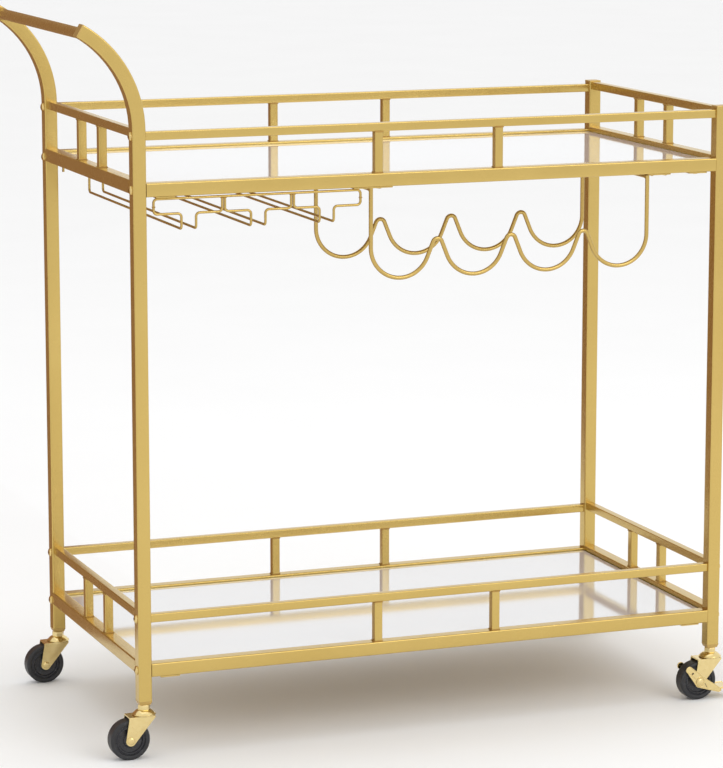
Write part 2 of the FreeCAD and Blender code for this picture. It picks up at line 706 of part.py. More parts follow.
front_hooks = []
lane_rails = []
back_hooks = []
for lane in range(3):
    middle = stem_left + (lane + 0.5) * size.stem_pitch
    for way in (-1, 1):
        outermost = (lane, way) in ((0, -1), (2, 1))
        hanger_inset = 0 if outermost else (wire + size.hanger_gap) / 2
        hanger_x = middle + way * (size.stem_pitch / 2 - hanger_inset)
        start_z = corner_z if outermost else hanger_top
        rail_x = middle + way * size.stem_slot / 2
        points = [
            Vector(hanger_x, rack_front, start_z),
            Vector(hanger_x, rack_front, shoulder_z),
            Vector(rail_x, rack_front, shoulder_z),
            Vector(rail_x, rack_front, lane_rail_z),
            Vector(rail_x, rack_front + bend_reach + 2, lane_rail_z),
        ]
        front_hooks.append(wire_along(bent_path(points, bend_reach), wire))
        rail_start = rack_front + bend_reach + 2
        rail_end = rack_back - bend_reach - 2
        start = Vector(rail_x, rail_start, lane_rail_z)
        lane_rails.append(rod(wire, rail_end - rail_start, start, Vector(0, 1, 0)))
        points = [
            Vector(rail_x, rail_end, lane_rail_z),
            Vector(rail_x, rack_back, lane_rail_z),
            Vector(rail_x, rack_back, hanger_top),
        ]
        back_hooks.append(wire_along(bent_path(points, bend_reach), wire))
new_group("stemware_front_hooks", front_hooks)
new_group("stemware_rails", lane_rails)
new_group("stemware_back_hooks", back_hooks)

# ---------------------------------------------------------------- wine rack
# Two waved wires, one behind the other, each with four cradles. Side bars under the
# plates carry the back wire.
wine_back = rack_front + size.wine_depth
side_bar_top = under_rail - size.tab_thick
lowest_z = under_rail - size.wine_drop


def arc(y, middle, radius, start, end):
    """An arc in the plane at y round the middle (x, z), from one angle to another."""
    angles = (start, (start + end) / 2, end)
    points = [
        Vector(middle[0] + radius * math.cos(a), y, middle[1] + radius * math.sin(a)) for a in angles
    ]
    return Part.Arc(*points).toShape()


def end_point(edge):
    """The point where an edge of the path ends."""
    return edge.valueAt(edge.LastParameter)


def start_point(edge):
    """The point where an edge of the path starts."""
    return edge.valueAt(edge.FirstParameter)


def crest(y, low_x):
    """From one cradle's lowest point to the next: arc, slanted flank, crest, flank, arc."""
    middle_z = lowest_z + size.wine_cradle
    crest_x = low_x + size.wine_pitch / 2
    crest_z = lowest_z + size.wine_crest_height - size.wine_crest
    apart = math.hypot(crest_x - low_x, crest_z - middle_z)
    slope = math.atan2(crest_z - middle_z, crest_x - low_x)
    turn = slope - math.acos((size.wine_cradle + size.wine_crest) / apart)
    following = low_x + size.wine_pitch
    lowest = -math.pi / 2
    rising = arc(y, (low_x, middle_z), size.wine_cradle, lowest, turn)
    over = arc(y, (crest_x, crest_z), size.wine_crest, math.pi + turn, -turn)
    falling = arc(y, (following, middle_z), size.wine_cradle, -math.pi - turn, lowest)
    up = Part.LineSegment(end_point(rising), start_point(over)).toShape()
    down = Part.LineSegment(end_point(over), start_point(falling)).toShape()
    return [rising, up, over, down, falling]


def waved_wire(y, top):
    """Down from the top, through four cradles with a crest between each two, and up again."""
    radius = size.wine_cradle
    shoulder = lowest_z + radius
    left_top, left_low = Vector(wine_left, y, top), Vector(wine_left, y, shoulder)
    right_low, right_top = Vector(wine_right, y, shoulder), Vector(wine_right, y, top)
    edges = [Part.LineSegment(left_top, left_low).toShape()]
    edges.append(arc(y, (wine_left + radius, shoulder), radius, -math.pi, -math.pi / 2))
    for number in range(3):
        edges += crest(y, wine_left + radius + number * size.wine_pitch)
    edges.append(arc(y, (wine_right - radius, shoulder), radius, -math.pi / 2, 0))
    edges.append(Part.LineSegment(right_low, right_top).toShape())
    return wire_along(Part.Wire(edges), size.wine_wire)


new_group("wine_rack_front_wire", [waved_wire(rack_front, side_bar_top)])
back_wire_top = side_bar_top - size.side_bar_diameter
new_group("wine_rack_back_wire", [waved_wire(wine_back, back_wire_top)])
bar_start = rack_front + size.wine_wire / 2 + 0.4
bar_length = rack_back + size.wine_wire / 2 - bar_start
bar_z = side_bar_top - size.side_bar_diameter / 2
side_bars = []
for x in (wine_left, wine_right):
    start = Vector(x, bar_start, bar_z)
    side_bars.append(rod(size.side_bar_diameter, bar_length, start, Vector(0, 1, 0)))
new_group("wine_rack_side_bars", side_bars)

# ---------------------------------------------------------------- foot sockets and stems
axle_z = size.wheel_diameter / 2
race_bottom = size.fork_top + size.race_gap
race_top = race_bottom + size.dome_height
socket_bottom = size.leg_bottom - size.socket_height
pin_radius = size.kingpin_diameter / 2
head_top = size.fork_top - size.fork_plate - size.race_gap


def foot_socket():
    """Closes a leg's lower end and takes the caster's stem; 0 is the leg's lower end."""
    wide = Part.makePolygon([Vector(a, b, 0) for a, b in square_points(size.leg_side / 2)])
    narrow = Part.makePolygon(
        [Vector(a, b, -size.socket_height) for a, b in square_points(size.socket_foot / 2)]
    )
    taper = Part.makeLoft([wide, narrow], True, True)
    hollow = size.leg_side - 2 * size.leg_wall - 2 * size.cap_fit
    body = taper.fuse(centred_box(hollow, hollow, size.socket_plug))
    start = Vector(0, 0, -size.socket_height)
    across = size.kingpin_diameter + 2 * size.bolt_clearance
    return body.cut(rod(across, size.socket_height + size.socket_plug, start))


def square_points(half):
    """The corners of a square, back to the first."""
    return [(-half, -half), (half, -half), (half, half), (-half, half), (-half, -half)]


def caster_stem():
    """Kingpin, domed race, collar and stem in one; heights are above the floor."""
    outline = [
        (0, head_top - size.kingpin_head_height),
        (size.kingpin_head / 2, head_top - size.kingpin_head_height),
        (size.kingpin_head / 2, head_top),
        (pin_radius, head_top),
        (pin_radius, race_bottom),
        (size.dome_diameter / 2, race_bottom),
        (size.dome_diameter / 2, race_bottom + size.dome_rim),
        (size.collar_diameter / 2, race_top),
        (size.collar_diameter / 2, socket_bottom),
        (pin_radius, socket_bottom),
        (pin_radius, size.leg_bottom + size.socket_plug - 2),
        (0, size.leg_bottom + size.socket_plug - 2),
    ]
    return turned(outline)


socket = foot_socket()
stem = caster_stem()
corners = [(x, y) for x in ENDS.values() for y in SIDES.values()]
new_group("leg_foot_sockets", [moved(socket, x, y, size.leg_bottom) for x, y in corners])
new_group("caster_stems", [moved(stem, x, y, 0) for x, y in corners])

# ---------------------------------------------------------------- casters
fork_inner = size.wheel_width + 2 * size.side_gap
fork_outer = fork_inner + 2 * size.fork_plate


def tangent_outline(circles):
    """The outline round a row of circles (x, z, radius), as tangent lines and arcs."""
    discs = [Part.makeCylinder(r, 1, Vector(x, 0, z), Vector(0, 1, 0)) for x, z, r in circles]
    solid = discs[0]
    for (x0, z0, r0), (x1, z1, r1), disc in zip(circles, circles[1:], discs[1:]):
        along = math.atan2(z1 - z0, x1 - x0)
        spread = math.acos((r0 - r1) / math.hypot(x1 - x0, z1 - z0))
        angles = (along + spread, along - spread)
        near = [Vector(x0 + r0 * math.cos(a), 0, z0 + r0 * math.sin(a)) for a in angles]
        far = [Vector(x1 + r1 * math.cos(a), 0, z1 + r1 * math.sin(a)) for a in angles]
        web = Part.Face(Part.makePolygon([near[0], far[0], far[1], near[1], near[0]]))
        solid = solid.fuse([web.extrude(Vector(0, 1, 0)), disc])
    return solid.removeSplitter()


def thickened(slab, thick, y):
    """The 1 mm slab made thick in Y, with its middle at y."""
    matrix = FreeCAD.Matrix()
    matrix.scale(Vector(1, thick, 1))
    return moved(slab.transformGeometry(matrix), 0, y - thick / 2, 0)


def fork():
    """The stamped fork: a top plate on the swivel axis and two plates down to the axle."""
    top = size.fork_top
    back, front = -size.fork_back, size.fork_front
    foot_x = -size.wheel_trail
    foot = size.fork_foot
    side_top = top - size.fork_plate
    left = Vector(foot_x - foot, 0, axle_z)
    bottom = Vector(foot_x, 0, axle_z - foot)
    slope = math.atan2(side_top - axle_z, front - foot_x)
    shift = math.asin(foot / math.hypot(side_top - axle_z, front - foot_x))
    normal = slope - shift - math.pi / 2
    right = Vector(foot_x + foot * math.cos(normal), 0, axle_z + foot * math.sin(normal))
    edges = [
        Part.LineSegment(Vector(back, 0, top), left).toShape(),
        Part.Arc(left, bottom, right).toShape(),
        Part.LineSegment(right, Vector(front, 0, side_top)).toShape(),
        Part.LineSegment(Vector(front, 0, side_top), Vector(front, 0, top)).toShape(),
        Part.LineSegment(Vector(front, 0, top), Vector(back, 0, top)).toShape(),
    ]
    profile = Part.Face(Part.Wire(edges))
    block = moved(profile.extrude(Vector(0, fork_outer, 0)), 0, -fork_outer / 2, 0)
    inside = Part.makeBox(
        200, fork_inner, side_top, Vector(-100, -fork_inner / 2, 0)
    )
    plates = block.cut(inside)
    race_seat = Part.makeCylinder(
        size.dome_diameter / 2 - 1, size.fork_plate, Vector(0, 0, side_top)
    )
    plates = plates.fuse(race_seat).removeSplitter()
    pin_hole = rod(size.kingpin_diameter + 2 * size.running_fit, 10, Vector(0, 0, side_top - 4))
    axle_hole = rod(
        size.axle_diameter + 0.1, fork_outer + 2, Vector(foot_x, -fork_outer / 2 - 1, axle_z), Vector(0, 1, 0)
    )
    return plates.cut([pin_hole, axle_hole])


def axle(head_inside):
    """The wheel's axle along Y, with a rivet head at each end, head_inside from the middle."""
    start = Vector(0, -head_inside, 0)
    shape = rod(size.axle_diameter, 2 * head_inside, start, Vector(0, 1, 0))
    for way in (-1, 1):
        head = Part.makeCone(
            size.rivet_head / 2,
            size.rivet_head / 2 * 0.7,
            size.rivet_height,
            Vector(0, way * head_inside, 0),
            Vector(0, way, 0),
        )
        shape = shape.fuse(head)
    return shape.removeSplitter()


def brake_lever():
    """Two side plates on the axle, joined in front of the tread by the foot pedal."""
    tail = math.radians(180 - size.lever_tail_angle)
    pedal_top = -size.lever_pedal_drop
    wheel_radius = size.wheel_diameter / 2
    clear = wheel_radius + size.lever_foot_gap
    pedal_start = math.sqrt(clear**2 - size.lever_pedal_drop**2)
    nose = size.lever_nose_radius
    circles = [
        (size.lever_tail * math.cos(tail), size.lever_tail * math.sin(tail), size.lever_tail_radius),
        (0, 0, size.lever_hub_radius),
        (pedal_start + nose, pedal_top - nose, nose),
    ]
    slab = tangent_outline(circles)
    plate_y = fork_outer / 2 + size.race_gap + size.lever_plate / 2
    sides = [thickened(slab, size.lever_plate, way * plate_y) for way in (-1, 1)]
    wide = 2 * plate_y + size.lever_plate
    pedal = Part.makeBox(
        size.lever_reach - pedal_start,
        wide,
        size.lever_plate,
        Vector(pedal_start, -wide / 2, pedal_top - size.lever_plate),
    )
    lip = centred_box(
        size.lever_plate, wide, 4, size.lever_reach - size.lever_plate / 2, 0, pedal_top - 4
    )
    hole = rod(size.axle_diameter + 2 * size.running_fit, wide, Vector(0, -wide / 2, 0), Vector(0, 1, 0))
    lever = sides[0].fuse([sides[1], pedal, lip]).removeSplitter()
    return lever.cut(hole)


def wheel(label, x, y):
    """A moulded wheel on its own Z axis, recessed on both sides, then laid along Y."""
    body = new_body(label)
    disc = new_sketch(body, label + "_disc")
    add_circle(disc, "Sizes.wheel_diameter")
    add_circle(disc, "Sizes.axle_diameter + 2 * Sizes.running_fit")
    pad(body, disc, "Sizes.wheel_width", middle=True)
    tread = size.wheel_diameter / 2
    round_edges(
        body,
        "Sizes.wheel_round",
        lambda e: isinstance(e.Curve, Part.Circle) and abs(e.Curve.Radius - tread) < 1e-4,
    )
    for way in (-1, 1):
        ring = new_sketch(body, f"{label}_recess{way + 1}")
        sign = "" if way > 0 else "-"
        ring.setExpression("AttachmentOffset.Base.z", f"{sign}Sizes.wheel_width / 2")
        add_circle(ring, "Sizes.rim_inside")
        add_circle(ring, "Sizes.hub_diameter")
        doc.recompute()
        before = body.Shape.Volume
        recess = body.newObject("PartDesign::Pocket", f"{label}_recess_cut{way + 1}")
        recess.Profile = ring
        recess.setExpression("Length", "Sizes.recess_depth")
        recess.Reversed = way < 0
        ring.Visibility = False
        doc.recompute()
        if body.Shape.Volume >= before:
            raise RuntimeError(f"{label}: recess cut nothing")
    body.Placement = Placement(Vector(x, y, axle_z), ALONG_Y)
    return body


fork_shape = fork()
lever_shape = brake_lever()
plain_head = fork_outer / 2
braked_head = fork_outer / 2 + size.lever_plate + 2 * size.race_gap
for end, x in ENDS.items():
    axle_x = x - size.wheel_trail
    braked = end == "right"
    axle_shape = axle(braked_head if braked else plain_head)
    for side, y in SIDES.items():
        where = f"{side}_{end}"
        new_group(f"caster_fork_{where}", [moved(fork_shape, x, y, 0)])
        new_group(f"caster_axle_{where}", [moved(axle_shape, axle_x, y, axle_z)])
        wheel(f"caster_wheel_{where}", axle_x, y)
        if braked:
            new_group(f"brake_lever_{where}", [moved(lever_shape, axle_x, y, axle_z)])

# ---------------------------------------------------------------- check and write
doc.recompute()
for item in doc.Objects:
    if "Invalid" in item.State or "Error" in item.State:
        raise RuntimeError(f"{item.Label} failed: {item.State}")
for node in parts:
    shape = node.Shape
    if shape.isNull() or not shape.isValid() or not shape.Solids:
        raise RuntimeError(f"{node.Label} has no valid solid")
for node in parts:
    node.Shape.exportStep(f"parts/{node.Label}.step")
    solids = node.Shape.Solids
    volume = sum(s.Volume for s in solids)
    print(f"{node.Label}: {len(solids)} solids, {volume:.1f} mm3")
whole = FreeCAD.BoundBox()
for node in parts:
    whole.add(node.Shape.BoundBox)
print("nodes", len(parts))
print(f"X {whole.XMin:.2f} {whole.XMax:.2f}")
print(f"Y {whole.YMin:.2f} {whole.YMax:.2f}")
print(f"Z {whole.ZMin:.2f} {whole.ZMax:.2f}")
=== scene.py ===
# %% [markdown]
# # A gold bar cart on four swivel casters
# The cart's frame comes ready made from the CAD model, in metres, with +Z up. This file
# gives every surface its finish and swaps the plain stand-ins for finished pieces: wheels
# with treads, domed races, sheet-metal brake levers, screw heads and weld beads.

import json

import bmesh
import bpy
import numpy as np
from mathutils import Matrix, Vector


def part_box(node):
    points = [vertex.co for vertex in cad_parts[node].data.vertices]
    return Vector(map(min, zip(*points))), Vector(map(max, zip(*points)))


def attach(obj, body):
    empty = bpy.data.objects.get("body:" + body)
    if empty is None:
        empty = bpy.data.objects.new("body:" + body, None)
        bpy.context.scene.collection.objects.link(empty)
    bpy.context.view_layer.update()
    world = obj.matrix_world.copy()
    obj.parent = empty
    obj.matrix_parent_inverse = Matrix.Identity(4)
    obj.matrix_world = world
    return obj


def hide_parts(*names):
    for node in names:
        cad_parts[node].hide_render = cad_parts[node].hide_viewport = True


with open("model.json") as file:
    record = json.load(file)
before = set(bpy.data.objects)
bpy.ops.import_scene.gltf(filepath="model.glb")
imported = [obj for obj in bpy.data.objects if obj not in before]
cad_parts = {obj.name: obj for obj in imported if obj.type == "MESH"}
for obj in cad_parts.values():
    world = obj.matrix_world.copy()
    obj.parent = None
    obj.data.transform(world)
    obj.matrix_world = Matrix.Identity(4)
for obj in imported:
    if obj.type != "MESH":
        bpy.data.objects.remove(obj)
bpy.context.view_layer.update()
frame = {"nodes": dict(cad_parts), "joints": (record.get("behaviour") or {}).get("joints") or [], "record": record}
nodes = frame["nodes"]
joints = {joint["name"]: joint for joint in frame["joints"]}

# %% [markdown]
# ## Shader maths that reads like maths
# A material is a network of nodes. Wiring Math nodes by hand hides the formula, so a small
# class wraps a socket and lets Python's own operators add the nodes. `Finish` starts a
# material with its Principled shader and makes any other node from one method.


# %% Sockets with operators
class Wire:
    """An output socket that can be used in an expression."""

    def __init__(self, finish, socket):
        self.finish = finish
        self.socket = socket

    def _maths(self, operation, first, second):
        node = self.finish.node("ShaderNodeMath", {"operation": operation}, {0: first, 1: second})
        return node[0]

    def __add__(self, other):
        return self._maths("ADD", self, other)

    def __radd__(self, other):
        return self._maths("ADD", other, self)

    def __sub__(self, other):
        return self._maths("SUBTRACT", self, other)

    def __rsub__(self, other):
        return self._maths("SUBTRACT", other, self)

    def __mul__(self, other):
        return self._maths("MULTIPLY", self, other)

    def __rmul__(self, other):
        return self._maths("MULTIPLY", other, self)

    def above(self, limit):
        """1 where the value is greater than the limit, and 0 elsewhere."""
        return self._maths("GREATER_THAN", self, limit)

    def most(self, other):
        """The greater of the two."""
        return self._maths("MAXIMUM", self, other)


class Outputs:
    """A node's outputs, by name or number, as wires."""

    def __init__(self, finish, node):
        self.finish = finish
        self.made = node

    def __getitem__(self, key):
        return Wire(self.finish, self.made.outputs[key])


class Finish:
    """A material under construction, with its Principled shader."""

    def __init__(self, name, **constants):
        self.material = bpy.data.materials.new(name)
        self.material.use_nodes = True
        self.tree = self.material.node_tree
        self.shader = next(n for n in self.tree.nodes if n.type == "BSDF_PRINCIPLED")
        for key, value in constants.items():
            self.shader.inputs[key.replace("_", " ")].default_value = value

    def node(self, kind, settings=None, inputs=None):
        """Adds a node: its settings first, then the values or links of its sockets."""
        made = self.tree.nodes.new(kind)
        for key, value in (settings or {}).items():
            if key == "stops":
                self._set_stops(made.color_ramp, value)
            else:
                setattr(made, key, value)
        for key, value in (inputs or {}).items():
            self._feed(made.inputs[key], value)
        return Outputs(self, made)

    def _set_stops(self, ramp, stops):
        while len(ramp.elements) < len(stops):
            ramp.elements.new(1.0)
        for element, (place, colour) in zip(ramp.elements, stops):
            element.position = place
            element.color = (*colour, 1.0)

    def _feed(self, socket, value):
        if isinstance(value, Wire):
            self.tree.links.new(value.socket, socket)
        else:
            socket.default_value = value

    def drive(self, name, value):
        """Feeds one of the shader's own sockets."""
        self._feed(self.shader.inputs[name], value)

    def place(self, scale=(1.0, 1.0, 1.0)):
        """Object coordinates, stretched by a Mapping node."""
        where = self.node("ShaderNodeTexCoord")["Object"]
        return self.node("ShaderNodeMapping", inputs={"Vector": where, "Scale": scale})[0]

    def noise(self, scale, detail=3.0, stretch=(1.0, 1.0, 1.0), rough=0.5):
        """Noise on Object coordinates, 0 to 1; scale counts its blotches in a metre."""
        sockets = {"Vector": self.place(stretch), "Scale": scale}
        sockets |= {"Detail": detail, "Roughness": rough}
        return self.node("ShaderNodeTexNoise", inputs=sockets)["Fac"]

    def blend(self, share, first, second):
        """A colour between two colours."""
        sockets = {0: share, 6: first, 7: second}
        return self.node("ShaderNodeMix", {"data_type": "RGBA"}, sockets)[2]

    def bump(self, height, distance, strength=1.0):
        """Feeds Normal from a height in metres of the given distance."""
        sockets = {"Height": height, "Distance": distance, "Strength": strength}
        self.drive("Normal", self.node("ShaderNodeBump", inputs=sockets)["Normal"])


def rgb(red, green, blue):
    """A colour with full alpha."""
    return (red, green, blue, 1.0)


# %% [markdown]
# ## Finishes
# The tubes are steel with a satin gold lacquer. A lacquer has three scales of detail: slow
# changes in its thickness, a soft orange-peel ripple a millimetre or two across, and a
# sparkle of metal flakes. Each becomes one noise.


# %% Gold lacquer
def gold_lacquer(name, colour, deep, roughness):
    """Satin metallic lacquer over steel tube."""
    paint = Finish(name, Metallic=0.92, IOR=1.5)
    thickness = paint.noise(9.0, 2.0)
    flakes = paint.noise(2600.0, 1.0)
    peel = paint.noise(420.0, 2.0)
    handling = paint.noise(38.0, 4.0, rough=0.6)
    paint.drive("Base Color", paint.blend(thickness * 0.7 + flakes * 0.2, colour, deep))
    paint.drive("Roughness", roughness + (flakes - 0.5) * 0.10 + (handling - 0.5) * 0.12)
    paint.drive("Coat Weight", 0.10 + (handling - 0.5) * 0.1)
    paint.shader.inputs["Coat Roughness"].default_value = 0.25
    paint.bump(peel + flakes * 0.25, 0.00004, 0.5)
    return paint.material


TUBE_GOLD = rgb(0.64, 0.465, 0.15)
TUBE_DEEP = rgb(0.54, 0.37, 0.105)
WIRE_GOLD = rgb(0.60, 0.43, 0.14)
WIRE_DEEP = rgb(0.50, 0.33, 0.09)
tube_gold = gold_lacquer("satin_gold_tube", TUBE_GOLD, TUBE_DEEP, 0.25)
wire_gold = gold_lacquer("satin_gold_wire", WIRE_GOLD, WIRE_DEEP, 0.27)

# %% [markdown]
# A weld bead is lacquered over, but its ripples stay rougher, and heat leaves it a little
# darker and redder than the tube.


# %% Weld beads
def weld_finish():
    """Lacquer over a rough bead."""
    bead = Finish("lacquered_weld", Metallic=0.85)
    grit = bead.noise(900.0, 4.0)
    tint = bead.noise(120.0, 2.0)
    bead.drive("Base Color", bead.blend(tint, rgb(0.58, 0.37, 0.11), rgb(0.36, 0.20, 0.06)))
    bead.drive("Roughness", 0.38 + grit * 0.25)
    bead.bump(grit, 0.00012, 0.7)
    return bead.material


weld_gold = weld_finish()


# %% [markdown]
# The casters are plated, not lacquered: brighter, paler and smoother than the tubes, with
# faint drawing lines from the press and small spots of wear.


# %% Plated caster metal and screws
def plating(name, colour, worn, roughness, grain):
    """Bright brass-coloured plating on pressed steel."""
    plate = Finish(name, Metallic=1.0)
    lines = plate.noise(grain, 3.0, stretch=(1.0, 1.0, 7.0))
    clouds = plate.noise(150.0, 3.0)
    spots = plate.noise(700.0, 2.0).above(0.68)
    plate.drive("Base Color", plate.blend(clouds * 0.8 + spots * 0.2, colour, worn))
    plate.drive("Roughness", roughness + lines * 0.10 + spots * 0.12)
    plate.bump(lines, 0.00002, 0.4)
    return plate.material


BRASS, BRASS_WORN = rgb(0.86, 0.71, 0.36), rgb(0.70, 0.52, 0.21)
SCREW, SCREW_WORN = rgb(0.80, 0.62, 0.27), rgb(0.60, 0.42, 0.16)
ZINC, ZINC_WORN = rgb(0.70, 0.71, 0.72), rgb(0.52, 0.52, 0.53)
caster_brass = plating("bright_brass_plating", BRASS, BRASS_WORN, 0.13, 500.0)
screw_brass = plating("brass_plated_screw", SCREW, SCREW_WORN, 0.20, 900.0)
nut_steel = plating("zinc_plated_nut", ZINC, ZINC_WORN, 0.30, 700.0)


# %% [markdown]
# The wheels are moulded plastic. The tread has a fine matt texture and picks up grey dust
# scuffs; the hub stays glossier. Both use one function with different numbers.


# %% Moulded plastics
def moulded(name, colour, dusty, roughness, grain_depth):
    """Moulded plastic with a fine grain and a little dust."""
    plastic = Finish(name, IOR=1.48)
    grain = plastic.noise(2200.0, 2.0)
    dust = plastic.noise(160.0, 5.0, rough=0.65)
    scuffs = (dust - 0.55).most(0.0) * 2.2
    plastic.drive("Base Color", plastic.blend(scuffs, colour, dusty))
    plastic.drive("Roughness", roughness + (grain - 0.5) * 0.15 + scuffs * 0.25)
    plastic.bump(grain, grain_depth, 0.6)
    return plastic.material


TREAD, TREAD_DUST = rgb(0.018, 0.018, 0.020), rgb(0.11, 0.11, 0.115)
CORE, CORE_DUST = rgb(0.022, 0.022, 0.026), rgb(0.07, 0.07, 0.075)
SHADOW, SHADOW_DUST = rgb(0.035, 0.024, 0.012), rgb(0.10, 0.07, 0.03)
CAP, CAP_DUST = rgb(0.55, 0.37, 0.12), rgb(0.66, 0.49, 0.21)
tread_black = moulded("wheel_tread_black", TREAD, TREAD_DUST, 0.46, 0.00006)
core_black = moulded("wheel_core_black", CORE, CORE_DUST, 0.26, 0.00002)
# Painted shade: the stamped_shadow finish is a dark brown laid flat over the brake levers' slot and fold, where a
# hole and a crease would be dark, with a little dust.
slot_shade_paint = moulded("stamped_shadow", SHADOW, SHADOW_DUST, 0.45, 0.00002)
cap_gold = moulded("gold_plastic_cap", CAP, CAP_DUST, 0.34, 0.00003)
cap_gold.node_tree.nodes["Principled BSDF"].inputs["Metallic"].default_value = 0.7


# %% [markdown]
# A thin shelf mirror is silvered glass with a pale, milky look: it reflects the rails above it
# only faintly, between a mirror and white glass, with some wiping haze. The ground edge
# shows the glass itself, pale green. The face is told from the edge by the normal's upward
# part.


# %% Mirror and board
def mirror_finish():
    """Silvered glass: a clear reflecting face and a pale green ground edge."""
    pane = Finish("silvered_glass", IOR=1.52)
    normal = pane.node("ShaderNodeNewGeometry")["Normal"]
    upward = pane.node("ShaderNodeSeparateXYZ", inputs={0: normal})["Z"]
    face = upward.above(0.9)
    haze = pane.noise(14.0, 4.0, stretch=(1.0, 2.5, 1.0), rough=0.6)
    pane.drive("Base Color", pane.blend(face, rgb(0.52, 0.66, 0.60), rgb(0.84, 0.845, 0.865)))
    pane.drive("Metallic", face * 0.5)
    pane.drive("Roughness", 0.22 - face * 0.17 + haze * 0.04)
    return pane.material


def board_finish():
    """Fibreboard with a thin brown-gold coat that lets the pressed fibres show."""
    board = Finish("coated_fibreboard", IOR=1.45)
    fibres = board.noise(900.0, 5.0, rough=0.7)
    clouds = board.noise(22.0, 3.0)
    shade = fibres * 0.5 + clouds * 0.5
    board.drive("Base Color", board.blend(shade, rgb(0.40, 0.30, 0.17), rgb(0.56, 0.44, 0.27)))
    board.drive("Roughness", 0.62 + fibres * 0.2)
    board.bump(fibres, 0.00015, 0.5)
    return board.material


mirror_glass = mirror_finish()
shelf_board = board_finish()
print("materials", [m.name for m in bpy.data.materials])

# %% [markdown]
# ## Which node wears which finish
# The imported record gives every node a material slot, so the choice is one table from slot
# to finish.

# %% Finish per slot
FINISHES = {
    "gold_tube": tube_gold,
    "gold_wire": wire_gold,
    "caster_plate": caster_brass,
    "fastener": screw_brass,
    "plain_steel": nut_steel,
    "gold_plastic": cap_gold,
    "wheel_plastic": core_black,
    "mirror_glass": mirror_glass,
    "board": shelf_board,
}
slot_of = {part["node"]: part["material_slot"] for part in frame["record"]["subparts"]}
body_of = {n: body for body, held in frame["record"]["behaviour"]["bodies"].items() for n in held}


def corners(node):
    """A node's lowest and highest corners as arrays."""
    low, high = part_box(node)
    return np.array(low), np.array(high)


# %% [markdown]
# ## Edges that catch the light
# A CAD solid has perfectly sharp edges, and real sheet and moulded parts don't: a rounded
# edge is what draws the thin bright line round them. A copy of the node has its loose
# triangles merged, its flat regions joined into faces, and a Bevel modifier on what is left
# sharp. The copy then stands for the node.


# %% Rounded copies of CAD nodes
def dress(piece, material, body, replaced=()):
    """Gives a piece its finish and its body, and hides the nodes that it stands for."""
    piece.data.materials.clear()
    piece.data.materials.append(material)
    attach(piece, body)
    if replaced:
        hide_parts(*replaced)
    return piece


def merged_copy(node, name, flatten):
    """A copy of a CAD node's mesh with shared vertices and, if flatten, whole flat faces."""
    mesh = nodes[node].data.copy()
    mesh.name = name
    work = bmesh.new()
    work.from_mesh(mesh)
    bmesh.ops.remove_doubles(work, verts=work.verts, dist=2e-6)
    if flatten:
        flat = np.radians(1.0)
        edges = [e for e in work.edges if len(e.link_faces) == 2]
        bmesh.ops.dissolve_limit(work, angle_limit=flat, verts=work.verts, edges=edges)
    work.to_mesh(mesh)
    work.free()
    if "custom_normal" in mesh.attributes:
        mesh.attributes.remove(mesh.attributes["custom_normal"])
    mesh.shade_smooth()
    return mesh


def soften(node, width, segments=2, material=None):
    """A rounded stand-in for a node: same shape, with its sharp edges bevelled."""
    mesh = merged_copy(node, node + "_rounded", True)
    piece = bpy.data.objects.new(node + "_rounded", mesh)
    bpy.context.scene.collection.objects.link(piece)
    bevel = piece.modifiers.new("rounded edges", "BEVEL")
    bevel.width = width
    bevel.segments = segments
    bevel.limit_method = "ANGLE"
    bevel.angle_limit = np.radians(40)
    bevel.harden_normals = True
    bevel.use_clamp_overlap = True
    return dress(piece, material or FINISHES[slot_of[node]], body_of[node], [node])


def smooth_by_angle(mesh, degrees):
    """Smooth shading, with edges sharper than the angle kept crisp."""
    mesh.shade_smooth()
    mesh.set_sharp_from_angle(angle=np.radians(degrees))


def smoothed(node, degrees=35.0):
    """A merged copy of a node with smooth curves and crisp corners."""
    mesh = merged_copy(node, node + "_smooth", False)
    smooth_by_angle(mesh, degrees)
    piece = bpy.data.objects.new(node + "_smooth", mesh)
    bpy.context.scene.collection.objects.link(piece)
    return dress(piece, FINISHES[slot_of[node]], body_of[node], [node])


EDGE_WIDTHS = {
    "caster_fork": 0.0005,
    "shelf_tabs": 0.0003,
    "rack_plates": 0.0003,
    "mirror": 0.0008,
    "shelf_board": 0.0010,
    "leg_foot_sockets": 0.0006,
}
for node in sorted(nodes):
    width = next((w for start, w in EDGE_WIDTHS.items() if node.startswith(start)), None)
    if width is not None:
        soften(node, width)

# %% [markdown]
# ## Surfaces from numpy
# Everything new is a grid of points: rows go round a section and columns go along a path.
# One function turns such a grid into a mesh, and closes it either way.


# %% Grid to mesh
def grid_faces(rows, columns, wrap_rows, wrap_columns):
    """Quads between neighbouring points of a rows-by-columns grid."""
    row = np.arange(rows if wrap_rows else rows - 1)
    column = np.arange(columns if wrap_columns else columns - 1)
    i, j = np.meshgrid(row, column, indexing="ij")
    after_i, after_j = (i + 1) % rows, (j + 1) % columns
    here, beyond = i * columns, after_i * columns
    quads = [here + j, beyond + j, beyond + after_j, here + after_j]
    return np.stack(quads, -1).reshape(-1, 4)


def merge_meshes(shells):
    """Joins (points, faces) pairs into one pair."""
    points = np.concatenate([p.reshape(-1, 3) for p, _ in shells])
    starts = np.cumsum([0] + [p.reshape(-1, 3).shape[0] for p, _ in shells[:-1]])
    faces = np.concatenate([f + start for (_, f), start in zip(shells, starts)])
    return points, faces


